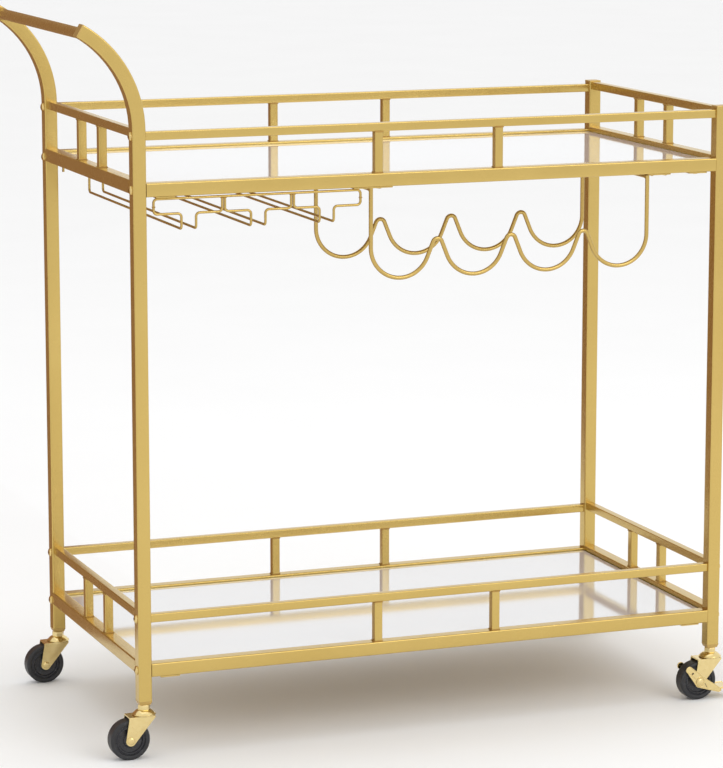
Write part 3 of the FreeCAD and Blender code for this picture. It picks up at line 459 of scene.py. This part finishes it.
def make_piece(name, shells, angle=35.0):
    """A mesh object from shells, with doubles merged and faces turned outwards."""
    points, faces = merge_meshes(shells)
    mesh = bpy.data.meshes.new(name)
    mesh.from_pydata(points, [], faces.tolist())
    work = bmesh.new()
    work.from_mesh(mesh)
    bmesh.ops.remove_doubles(work, verts=work.verts, dist=1e-6)
    bmesh.ops.dissolve_degenerate(work, edges=work.edges, dist=1e-7)
    bmesh.ops.recalc_face_normals(work, faces=work.faces)
    work.to_mesh(mesh)
    work.free()
    smooth_by_angle(mesh, angle)
    piece = bpy.data.objects.new(name, mesh)
    bpy.context.scene.collection.objects.link(piece)
    return piece


# %% [markdown]
# ## Turned parts
# A wheel or a screw head is a profile turned about an axis. Where a profile has corners, a
# little round is put in by cutting each corner with a short arc, as a tool would.


# %% Lathe
TURN_STEPS = 72


def rounded_profile(points, radius, steps=4):
    """The (radius, height) points with each inner corner replaced by a small quadratic arc."""
    points = np.array(points, float)
    out = [points[0]]
    for before, corner, after in zip(points[:-2], points[1:-1], points[2:]):
        into, away = before - corner, after - corner
        reach = min(radius, np.linalg.norm(into) * 0.45, np.linalg.norm(away) * 0.45)
        start = corner + into / np.linalg.norm(into) * reach
        end = corner + away / np.linalg.norm(away) * reach
        t = np.linspace(0, 1, steps + 1)[:, None]
        out.extend((1 - t) ** 2 * start + 2 * t * (1 - t) * corner + t**2 * end)
    out.append(points[-1])
    return np.array(out)


def turn(profile, centre, axis, steps=TURN_STEPS):
    """Each profile point (r, h) goes round the axis: centre + h * axis + r * (cos, sin)."""
    axis = np.array(axis, float)
    side = np.array([1.0, 0, 0]) if abs(axis[0]) < 0.9 else np.array([0, 1.0, 0])
    other = np.cross(axis, side)
    angle = np.linspace(0, 2 * np.pi, steps, endpoint=False)
    ring = np.cos(angle)[:, None] * side + np.sin(angle)[:, None] * other
    radius, height = profile[:, 0], profile[:, 1]
    points = centre + ring[:, None, :] * radius[None, :, None] + axis * height[None, :, None]
    return points, grid_faces(steps, len(profile), True, False)


# %% [markdown]
# ## Wheels
# Each wheel is two mouldings: a glossy core with a hub, a dished web and a bright ridge, and
# a matt tread over it with rounded shoulders. Both are turned about the axle, and their
# sizes come from the CAD wheel's box.

# %% Wheel pieces
AXLE_HOLE = 0.0031
HUB = 0.0080
WEB = 0.0028
RIDGE_IN = 0.0148
RIDGE_OUT = 0.0162
TREAD_IN = 0.0178
SHOULDER = 0.0026


def wheel_core(half, hub_half):
    """Profile of one side and the other: bore, hub, dished web, ridge and rim."""
    side = [
        (AXLE_HOLE, 0.0),
        (AXLE_HOLE, hub_half),
        (HUB * 0.82, hub_half),
        (HUB, hub_half - 0.0012),
        (HUB + 0.0006, half - WEB),
        (RIDGE_IN - 0.0008, half - WEB + 0.0004),
        (RIDGE_IN, half - 0.0004),
        (RIDGE_OUT, half - 0.0004),
        (RIDGE_OUT + 0.0006, half - 0.0014),
        (TREAD_IN + 0.0006, half - 0.0016),
        (TREAD_IN + 0.0006, 0.0),
    ]
    mirrored = [(r, -h) for r, h in side[::-1]]
    return rounded_profile(side + mirrored[1:-1] + [side[0]], 0.0004)


def wheel_tread(half, radius):
    """Profile of the tread: flat sides, round shoulders and a slightly crowned middle."""
    t = np.linspace(0, np.pi / 2, 9)
    shoulder_r = radius - SHOULDER + SHOULDER * np.sin(t)
    shoulder_h = half - SHOULDER + SHOULDER * np.cos(t)
    side = [(TREAD_IN, 0.0), (TREAD_IN, half - 0.0018), (TREAD_IN + 0.0008, half - 0.0005)]
    side += [(TREAD_IN + 0.0022, half)]
    side += list(zip(shoulder_r, shoulder_h))
    side[-1] = (radius - 0.0001, half - SHOULDER)
    mirrored = [(r, -h) for r, h in side[::-1]]
    return np.array(side + [(radius, 0.0)] + mirrored[:-1] + [side[0]])


for node in sorted(n for n in nodes if n.startswith("caster_wheel")):
    low, high = corners(node)
    centre = (low + high) / 2
    radius = (high[2] - low[2]) / 2
    half = (high[1] - low[1]) / 2
    body = body_of[node]
    core = make_piece(node + "_core", [turn(wheel_core(half, half), centre, (0, 1, 0))])
    dress(core, core_black, body, [node])
    tread = make_piece(node + "_tread", [turn(wheel_tread(half, radius), centre, (0, 1, 0), 96)])
    dress(tread, tread_black, body)
print("wheel radius", radius, "half width", half)

# %% [markdown]
# ## Races, collars and kingpins
# Above each fork sits a pressed dome that holds the ball bearing, with a rolled lip, and
# over it a hexagonal collar. The dome is turned; the collar is a turned profile whose radius
# follows a hexagon: r / cos of the angle to the nearest flat's middle.

# %% Swivel pieces
stem_low = corners("caster_stems")[0]
fork_high = corners("caster_fork_front_left")[1]
socket_low = corners("leg_foot_sockets")[0]
SEAT = fork_high[2] + 0.0003
DOME_RADIUS = 0.0140
DOME_TOP = SEAT + 0.0060
LIP = 0.0012
COLLAR = 0.0070
PIN = 0.0040
PIN_HEAD = 0.0070
UNDER_FORK = 0.0019
HEX_RADIUS = COLLAR * 0.93
HEX_CHAMFER = COLLAR * 0.84
swivels = {name: joint for name, joint in joints.items() if name.startswith("swivel")}


def dome_profile():
    """A rolled lip, then a curve that rises steeply and flattens to the collar."""
    t = np.linspace(0, 1, 12)
    radius = DOME_RADIUS - 0.0009 - (DOME_RADIUS - 0.0009 - COLLAR * 0.9) * t
    rise = SEAT + LIP + (DOME_TOP - SEAT - LIP) * np.sin(t * np.pi / 2) ** 0.85
    lip_angle = np.linspace(-np.pi / 2, np.pi / 2, 8)
    lip_r = DOME_RADIUS - LIP / 2 + LIP / 2 * np.cos(lip_angle)
    lip_h = SEAT + LIP / 2 + LIP / 2 * np.sin(lip_angle)
    return np.array([(PIN, SEAT), *zip(lip_r, lip_h), *zip(radius, rise), (PIN, DOME_TOP)])


def hexagon_turn(profile, centre, steps=96):
    """Radius * min(1 / cos(angle from the nearest flat's middle), 1.12): soft corners."""
    points, faces = turn(profile, centre, (0, 0, 1), steps)
    offset = points - centre
    angle = np.arctan2(offset[..., 1], offset[..., 0])
    sector = np.mod(angle, np.pi / 3) - np.pi / 6
    stretch = np.minimum(1 / np.cos(sector), 1.12)
    outer = np.hypot(offset[..., 0], offset[..., 1]) > PIN * 1.1
    offset[..., :2] *= np.where(outer, stretch, 1.0)[..., None]
    return centre + offset, faces


stem_shells, collar_shells = [], []
for joint in swivels.values():
    x, y, _ = joint["pos_m"]
    centre = np.array([x, y, 0.0])
    stem_shells.append(turn(dome_profile(), centre, (0, 0, 1)))
    foot = stem_low[2]
    head = fork_high[2] - UNDER_FORK
    pin = [(0, foot), (0.0050, foot), (0.0068, foot + 0.0005)]
    pin += [(PIN_HEAD, head), (PIN, head), (PIN, SEAT)]
    stem_shells.append(turn(rounded_profile(pin, 0.0004), centre, (0, 0, 1), 48))
    top = socket_low[2]
    collar_foot = DOME_TOP - 0.0002
    collar = [(PIN, collar_foot), (HEX_RADIUS, collar_foot), (HEX_RADIUS, top - 0.0006)]
    collar += [(HEX_CHAMFER, top), (PIN, top)]
    collar_shells.append(hexagon_turn(rounded_profile(collar, 0.0003), centre))
races = make_piece("caster_races_and_kingpins", stem_shells)
dress(races, caster_brass, "frame", ["caster_stems"])
collars = make_piece("caster_hex_collars", collar_shells)
dress(collars, caster_brass, "frame")
print("races", len(stem_shells), "collars", len(collar_shells))

# %% [markdown]
# ## Axle heads
# The axle is a rivet: a shank with a domed head and, under it, a thin washer. It is one
# turned profile, mirrored about the wheel's middle.

# %% Axles
HEAD = 0.0042


def axle_profile(end, seat):
    """Half an axle from its middle to its domed head."""
    t = np.linspace(0, np.pi / 2, 7)
    dome = [(HEAD * np.cos(a), seat + 0.0005 + (end - seat - 0.0005) * np.sin(a)) for a in t]
    washer = HEAD * 1.2
    return [(0.0029, 0.0), (0.0029, seat), (washer, seat), (washer, seat + 0.0005), *dome]


for node in sorted(n for n in nodes if n.startswith("caster_axle")):
    low, high = corners(node)
    centre = (low + high) / 2
    end = (high[1] - low[1]) / 2
    half = axle_profile(end, end - 0.0020)
    mirrored = [(r, -h) for r, h in half[::-1]]
    profile = np.array(mirrored + half[1:])
    piece = make_piece(node + "_rivet", [turn(profile, centre, (0, 1, 0), 40)])
    dress(piece, caster_brass, body_of[node], [node])

# %% [markdown]
# ## Tidy copies for the levers, caps, bolts and wires
# The bent legs and the wires are smooth already; their copies only need shared vertices so
# that light runs along their curves without facets.

# %% Smooth copies
SMOOTH_STARTS = ("leg_front", "leg_back", "handle_bar", "stemware", "wine_rack")
SMOOTH_STARTS += ("tube_end_caps", "frame_bolts", "brake_lever", "long_rail", "end_rail")
SMOOTH_STARTS += ("guard_rail", "end_guard", "balusters")
smooth_nodes = sorted(n for n in nodes if n.startswith(SMOOTH_STARTS))
for node in smooth_nodes:
    smoothed(node)
print("smoothed", len(smooth_nodes))

# %% [markdown]
# ## Beads round a joint
# Every baluster, the handle bar and the rack wires are welded. A weld is a ring that hugs
# the tube: a small circle carried along the tube's outline, its radius rippling where the
# torch paused. Some node meshes hold several solids, so each one is found first by walking
# from face to face.


# %% Solids of a node
def solids(node):
    """The points of each separate solid in a node's mesh, as arrays."""
    work = bmesh.new()
    work.from_mesh(nodes[node].data)
    bmesh.ops.remove_doubles(work, verts=work.verts, dist=2e-6)
    left, found = set(work.verts), []
    while left:
        queue, seen = [left.pop()], []
        while queue:
            vertex = queue.pop()
            seen.append(vertex.co[:])
            near = {edge.other_vert(vertex) for edge in vertex.link_edges} & left
            left -= near
            queue.extend(near)
        found.append(np.array(seen))
    work.free()
    return sorted(found, key=lambda points: tuple(points.min(axis=0).round(4)))


# %% [markdown]
# The outline is resampled at even steps, so that the ripples are equally long on the
# straights and round the corners.


# %% Closed bead along an outline
def even_outline(corners_2d, spacing):
    """Points at even steps along a closed polygon."""
    loop = np.vstack([corners_2d, corners_2d[:1]])
    reach = np.concatenate([[0.0], np.cumsum(np.linalg.norm(np.diff(loop, axis=0), axis=1))])
    where = np.linspace(0, reach[-1], max(16, int(reach[-1] / spacing)), endpoint=False)
    return np.stack([np.interp(where, reach, loop[:, k]) for k in (0, 1)], -1)


def rounded_rectangle(half_a, half_b, corner, steps=5):
    """Outline: a quarter circle of the corner's radius about each of four centres."""
    angle = np.linspace(0, np.pi / 2, steps)
    turns = [angle + k * np.pi / 2 for k in range(4)]
    signs = [(1, 1), (-1, 1), (-1, -1), (1, -1)]
    centres = np.array(signs) * (half_a - corner, half_b - corner)
    arcs = [c + corner * np.stack([np.cos(t), np.sin(t)], -1) for c, t in zip(centres, turns)]
    return np.concatenate(arcs)


def bead(outline, centre, side, other, radius, ripple=0.0, pitch=0.0009, around=8):
    """p(s) + r(s) * (cos a * outward + sin a * up), with r(s) = radius * (1 + ripple * sin)."""
    side, other = np.array(side, float), np.array(other, float)
    up = np.cross(side, other)
    ahead = np.roll(outline, -1, 0) - np.roll(outline, 1, 0)
    ahead /= np.linalg.norm(ahead, axis=1)[:, None]
    length = np.linalg.norm(np.roll(outline, -1, 0) - outline, axis=1).sum()
    waves = max(1, round(length / pitch))
    phase = np.linspace(0, 2 * np.pi * waves, len(outline), endpoint=False)
    swell = radius * (1 + ripple * np.sin(phase))
    path = centre + outline[:, :1] * side + outline[:, 1:] * other
    outward = ahead[:, 1:] * side - ahead[:, :1] * other
    a = np.linspace(0, 2 * np.pi, around, endpoint=False)
    section = np.cos(a)[None, :, None] * outward[:, None] + np.sin(a)[None, :, None] * up
    points = path[:, None] + swell[:, None, None] * section
    return points, grid_faces(len(outline), around, True, True)


# %% [markdown]
# The same bead serves the square balusters and the round handle bar; a circle is a rounded
# rectangle whose corners are as large as its half width.

# %% Baluster and handle welds
WELD = 0.0008
TUBE_CORNER = 0.0011
SNUG = 0.0001
STEP = 0.0003
weld_shells = []
for node in sorted(n for n in nodes if n.startswith("balusters")):
    for points in solids(node):
        low, high = points.min(axis=0), points.max(axis=0)
        half = (high - low) / 2
        section = rounded_rectangle(half[0] + SNUG, half[1] + SNUG, TUBE_CORNER)
        outline = even_outline(section, STEP)
        for z in (low[2] + 0.0003, high[2] - 0.0003):
            centre = np.array([low[0] + half[0], low[1] + half[1], z])
            weld_shells.append(bead(outline, centre, (1, 0, 0), (0, 1, 0), WELD, 0.16))
grip_low, grip_high = corners("handle_bar")
grip_half = (grip_high - grip_low) / 2
grip = grip_half[0]
grip_ring = even_outline(rounded_rectangle(grip, grip, grip * 0.999, 12), STEP)
for y in (grip_low[1] + 0.0004, grip_high[1] - 0.0004):
    centre = np.array([grip_low[0] + grip, y, grip_low[2] + grip_half[2]])
    weld_shells.append(bead(grip_ring, centre, (0, 0, 1), (1, 0, 0), 0.0011, 0.14, 0.0011))
welds = make_piece("frame_weld_beads", weld_shells, 60.0)
dress(welds, weld_gold, "frame")
print("weld rings", len(weld_shells))


# %% [markdown]
# The rack wires are spot-welded: at each joint the metal has flowed into a small flattened
# blob. A blob is a sphere squashed along one axis.


# %% Wire joints
def blob(centre, size_xyz, rows=8, columns=12):
    """centre + size * (sin u cos v, sin u sin v, cos u)."""
    u = np.linspace(0, np.pi, rows)[:, None]
    v = np.linspace(0, 2 * np.pi, columns, endpoint=False)[None]
    ball = np.stack([np.sin(u) * np.cos(v), np.sin(u) * np.sin(v), np.cos(u) + 0 * v], -1)
    return np.array(centre) + ball * np.array(size_xyz), grid_faces(rows, columns, False, True)


def ends(points, axis, high, depth=0.0006):
    """The middle of a solid's points at one end along an axis."""
    edge = points[:, axis].max() if high else points[:, axis].min()
    near = points[np.abs(points[:, axis] - edge) < depth]
    middle = near.mean(axis=0)
    middle[axis] = edge
    return middle


WIRE_RADIUS = 0.0015
SPOT_APART = 0.009
spot_shells = []
for node in ("stemware_front_hooks", "stemware_back_hooks"):
    for points in solids(node):
        spot_shells.append(blob(ends(points, 2, True), (0.0024, 0.0021, 0.0010)))
for points in solids("wine_rack_side_bars"):
    for high in (False, True):
        spot_shells.append(blob(ends(points, 1, high), (0.0028, 0.0010, 0.0028)))
plate_boxes = [(p.min(axis=0), p.max(axis=0)) for p in solids("rack_plates")]
wire_low, wire_high = corners("stemware_top_wires")
for low, high in plate_boxes:
    middle_x = (low[0] + high[0]) / 2
    wire_y = wire_low[1] + WIRE_RADIUS if low[1] < 0 else wire_high[1] - WIRE_RADIUS
    for x in (middle_x - SPOT_APART, middle_x + SPOT_APART):
        spot_shells.append(blob((x, wire_y, low[2]), (0.0026, 0.0023, 0.0012)))
spots = make_piece("rack_spot_welds", spot_shells, 60.0)
dress(spots, weld_gold, "frame")
print("spot welds", len(spot_shells), "plates", len(plate_boxes))

# %% [markdown]
# ## Screw heads with a cross
# From below one sees pan-head screws with a cross recess. The head is a polar grid whose
# height is a low dome minus the cross: two slots that deepen towards the middle.


# %% Cross-recess screws
def pan_head(centre, radius, height, rings=16, spokes=40):
    """Height = dome(r) - depth * slot mask; r runs from the rim to the middle, facing down."""
    r = np.concatenate([[1.0, 1.0], np.cos(np.linspace(0.25, np.pi / 2, rings))])
    angle = np.linspace(0, 2 * np.pi, spokes, endpoint=False)
    x, y = r[:, None] * np.cos(angle), r[:, None] * np.sin(angle)
    dome = np.concatenate([[0.0, 0.42], 0.42 + 0.58 * np.sin(np.linspace(0.25, np.pi / 2, rings))])
    across = np.minimum(np.abs(x), np.abs(y))
    along = np.maximum(np.abs(x), np.abs(y))
    slot = np.clip((0.17 - across) / 0.06, 0, 1) * np.clip((0.58 - along) / 0.08, 0, 1)
    z = dome[:, None] - slot * (0.55 - 0.35 * along)
    points = np.stack([x * radius, y * radius, -z * height], -1) + centre
    return points, grid_faces(len(r), spokes, False, True)


PAN_HEIGHT = 0.0018
SHANK = 0.00175
head_shells = []
for points in solids("underside_screws"):
    low, high = points.min(axis=0), points.max(axis=0)
    radius = (high[0] - low[0]) / 2
    centre = np.array([low[0] + radius, low[1] + radius, low[2] + PAN_HEIGHT])
    head_shells.append(pan_head(centre, radius, PAN_HEIGHT))
    tip = high[2] - centre[2]
    shank = np.array([(SHANK, 0.0), (SHANK, tip), (0.0, tip)])
    head_shells.append(turn(shank, centre, (0, 0, 1), 12))
heads = make_piece("cross_recess_screws", head_shells, 40.0)
dress(heads, screw_brass, "frame", ["underside_screws"])
print("screws", len(head_shells) // 2)

# %% [markdown]
# ## Pressed brake levers
# A lever is pressed from sheet, and its edge is turned over into a rim that stiffens it. The
# rim is a bead along the outline of the lever's outer face, which is the largest flat face
# of the CAD node on that side. A washer ring and a bead round a square slot finish it. The
# slot and a short slit are flat dark patches: painted shade where the hole and the fold
# crease would be dark.


# %% Lever rims
def outer_outline(node):
    """The (x, z) outline of the node's largest face that looks along -Y, and its y."""
    work = bmesh.new()
    work.from_mesh(merged_copy(node, "outline", True))
    facing = [f for f in work.faces if f.normal.y < -0.99]
    face = max(facing, key=lambda f: f.calc_area())
    loop = np.array([(v.co.x, v.co.z) for v in face.verts])
    depth = face.verts[0].co.y
    work.free()
    return loop, depth


TAIL_SLOT = np.array([-0.0102, 0.0112])
SLOT_TURN = np.radians(43)
FOLD = np.array([0.0082, -0.0050])
FOLD_TURN = np.radians(-62)
RIM = 0.0006
PROUD = 0.00006
WASHER = 0.0058


def turned_rectangle(middle, half_a, half_b, angle, corner):
    """A rounded rectangle turned by an angle about its own middle."""
    flat = rounded_rectangle(half_a, half_b, corner)
    c, s = np.cos(angle), np.sin(angle)
    return middle + flat @ np.array([[c, s], [-s, c]])


def flat_patch(outline, centre, side, other):
    """A flat filled outline: middle + share * (outline - middle), for shares 1, 0.5 and 0."""
    rings = np.array([1.0, 0.5, 0.0])[:, None, None]
    middle = outline.mean(axis=0)
    flat = middle + (outline - middle) * rings
    points = centre + flat[..., :1] * np.array(side) + flat[..., 1:] * np.array(other)
    return points, grid_faces(len(rings), len(outline), False, True)


for node in sorted(n for n in nodes if n.startswith("brake_lever")):
    loop, face_y = outer_outline(node)
    axle_x, _, axle_z = joints[node.replace("brake_lever", "brake")]["pos_m"]
    low, high = corners(node)
    middle_y = (low[1] + high[1]) / 2
    rims, shade_patches = [], []
    ring_angle = np.linspace(0, 2 * np.pi, 48, endpoint=False)
    washer = np.stack([np.cos(ring_angle), np.sin(ring_angle)], -1) * WASHER
    slot = turned_rectangle(TAIL_SLOT, 0.0017, 0.0013, SLOT_TURN, 0.0004)
    fold = turned_rectangle(FOLD, 0.0034, 0.00035, FOLD_TURN, 0.0003)
    for way in (-1, 1):
        y = middle_y + way * (middle_y - face_y)
        flat_centre = np.array([0.0, y, 0.0])
        axle = np.array([axle_x, y, axle_z])
        rims.append(bead(even_outline(loop, 0.0005), flat_centre, (1, 0, 0), (0, 0, 1), RIM))
        rims.append(bead(washer, axle, (1, 0, 0), (0, 0, 1), 0.0005))
        rims.append(bead(even_outline(slot, 0.0003), axle, (1, 0, 0), (0, 0, 1), 0.00035))
        # Painted shade: flat dark patches over the slot and the fold, lifted a hair off the lever's face.
        lifted = axle + np.array([0.0, way * PROUD, 0.0])
        shade_patches.append(flat_patch(slot, lifted, (1, 0, 0), (0, 0, 1)))
        shade_patches.append(flat_patch(fold, lifted, (1, 0, 0), (0, 0, 1)))
    rim = make_piece(node + "_rims", rims, 60.0)
    dress(rim, caster_brass, body_of[node])
    shade_piece = make_piece(node + "_stamped_marks", shade_patches, 60.0)
    dress(shade_piece, slot_shade_paint, body_of[node])
    print(node, "outline points", len(loop), "axle", round(axle_x, 4), round(axle_z, 4))

# %% [markdown]
# ## What stays as it came
# The plugs inside the rail ends are never seen, so they stay plain CAD nodes and only get
# their finish.

# %% Finishes for the rest
for node, part in nodes.items():
    if not part.hide_render:
        part.data.materials.clear()
        part.data.materials.append(FINISHES[slot_of[node]])
        print("plain CAD node", node)

# %% [markdown]
# ## Studio
# A wide pale floor under an even white sky gives plain light without a horizon behind the
# cart. Large soft lights in front and above give long gentle reflections in the gold. To the
# back left stand two brown cards, one upright and one on the floor, that only reflections
# see. They glow a fixed brown, though they are no lamps: a painted reflection that darkens the
# sides of the square tubes, so that the corners read.


# %% Floor and cards
def plain_sheet(name, corner, along, up):
    """A flat rectangle: corner + i * along + j * up, for i and j from 0 to 1."""
    i, j = np.meshgrid([0.0, 1.0], [0.0, 1.0], indexing="ij")
    points = np.array(corner) + i[..., None] * np.array(along) + j[..., None] * np.array(up)
    sheet = make_piece(name, [(points, grid_faces(2, 2, False, False))])
    return sheet


floor = plain_sheet("studio_floor", (-45.0, -45.0, 0.0), (90.0, 0, 0), (0, 90.0, 0))
paper = Finish("studio_paper", Roughness=0.95)
PAPER_DIM, PAPER_PALE = rgb(0.90, 0.90, 0.90), rgb(0.93, 0.93, 0.93)
paper.drive("Base Color", paper.blend(paper.noise(3.0), PAPER_DIM, PAPER_PALE))
floor.data.materials.append(paper.material)
# Painted reflection: the cards glow a fixed brown that only glossy rays see, so the tube sides mirror it.
reflection_glow = Finish("glowing_brown_reflection", Roughness=1.0, Emission_Strength=1.0)
reflection_glow.drive("Base Color", rgb(0.0, 0.0, 0.0))
reflection_glow.drive("Emission Color", rgb(0.34, 0.19, 0.10))
standing = plain_sheet("studio_brown_card", (-3.2, 1.6, 0.002), (3.3, 0, 0), (0, 0, 1.9))
lying = plain_sheet("studio_floor_card", (-3.2, 0.35, 0.001), (3.1, 0, 0), (0, 1.25, 0))
for card in (standing, lying):
    card.data.materials.append(reflection_glow.material)
    card.visible_camera = False
    card.visible_diffuse = False
    card.visible_shadow = False

# %% [markdown]
# Two broad area lights, one in front to the right and one overhead, add a soft direction to
# the even light of the sky.


# %% Lights
def soft_light(name, place, aim, size, power, colour=(1.0, 1.0, 1.0)):
    """A rectangular light that points at a place."""
    lamp = bpy.data.lights.new(name, "AREA")
    lamp.shape = "RECTANGLE"
    lamp.size, lamp.size_y = size
    lamp.energy = power
    lamp.color = colour
    holder = bpy.data.objects.new(name, lamp)
    holder.location = place
    holder.rotation_euler = (Vector(aim) - Vector(place)).to_track_quat("-Z", "Y").to_euler()
    bpy.context.scene.collection.objects.link(holder)


MIDDLE = (0.0, 0.0, 0.45)
soft_light("key_front", (1.4, -3.0, 2.2), MIDDLE, (2.2, 1.6), 26.0)
soft_light("top", (0.0, 0.2, 3.4), MIDDLE, (3.0, 2.4), 12.0)
world = bpy.data.worlds.new("pale_room")
world.use_nodes = True
sky = world.node_tree.nodes["Background"]
sky.inputs["Color"].default_value = rgb(1.0, 1.0, 1.0)
sky.inputs["Strength"].default_value = 1.0
bpy.context.scene.world = world
bpy.context.scene.view_settings.view_transform = "Standard"

# %% [markdown]
# ## Camera
# A long lens from the front left, a little above the handle and tilted down, shows the
# near side, the handle's end and both mirrors.

# %% Camera
EYE = Vector((-1.4629, -3.8215, 1.1306))
YAW = 20.92
PITCH = 10.25
camera = bpy.data.cameras.new("camera")
camera.lens = 157.7
camera.sensor_width = 36.0
holder = bpy.data.objects.new("camera", camera)
holder.location = EYE
holder.rotation_euler = (np.radians(90 - PITCH), 0.0, np.radians(-YAW))
bpy.context.scene.collection.objects.link(holder)
bpy.context.scene.camera = holder
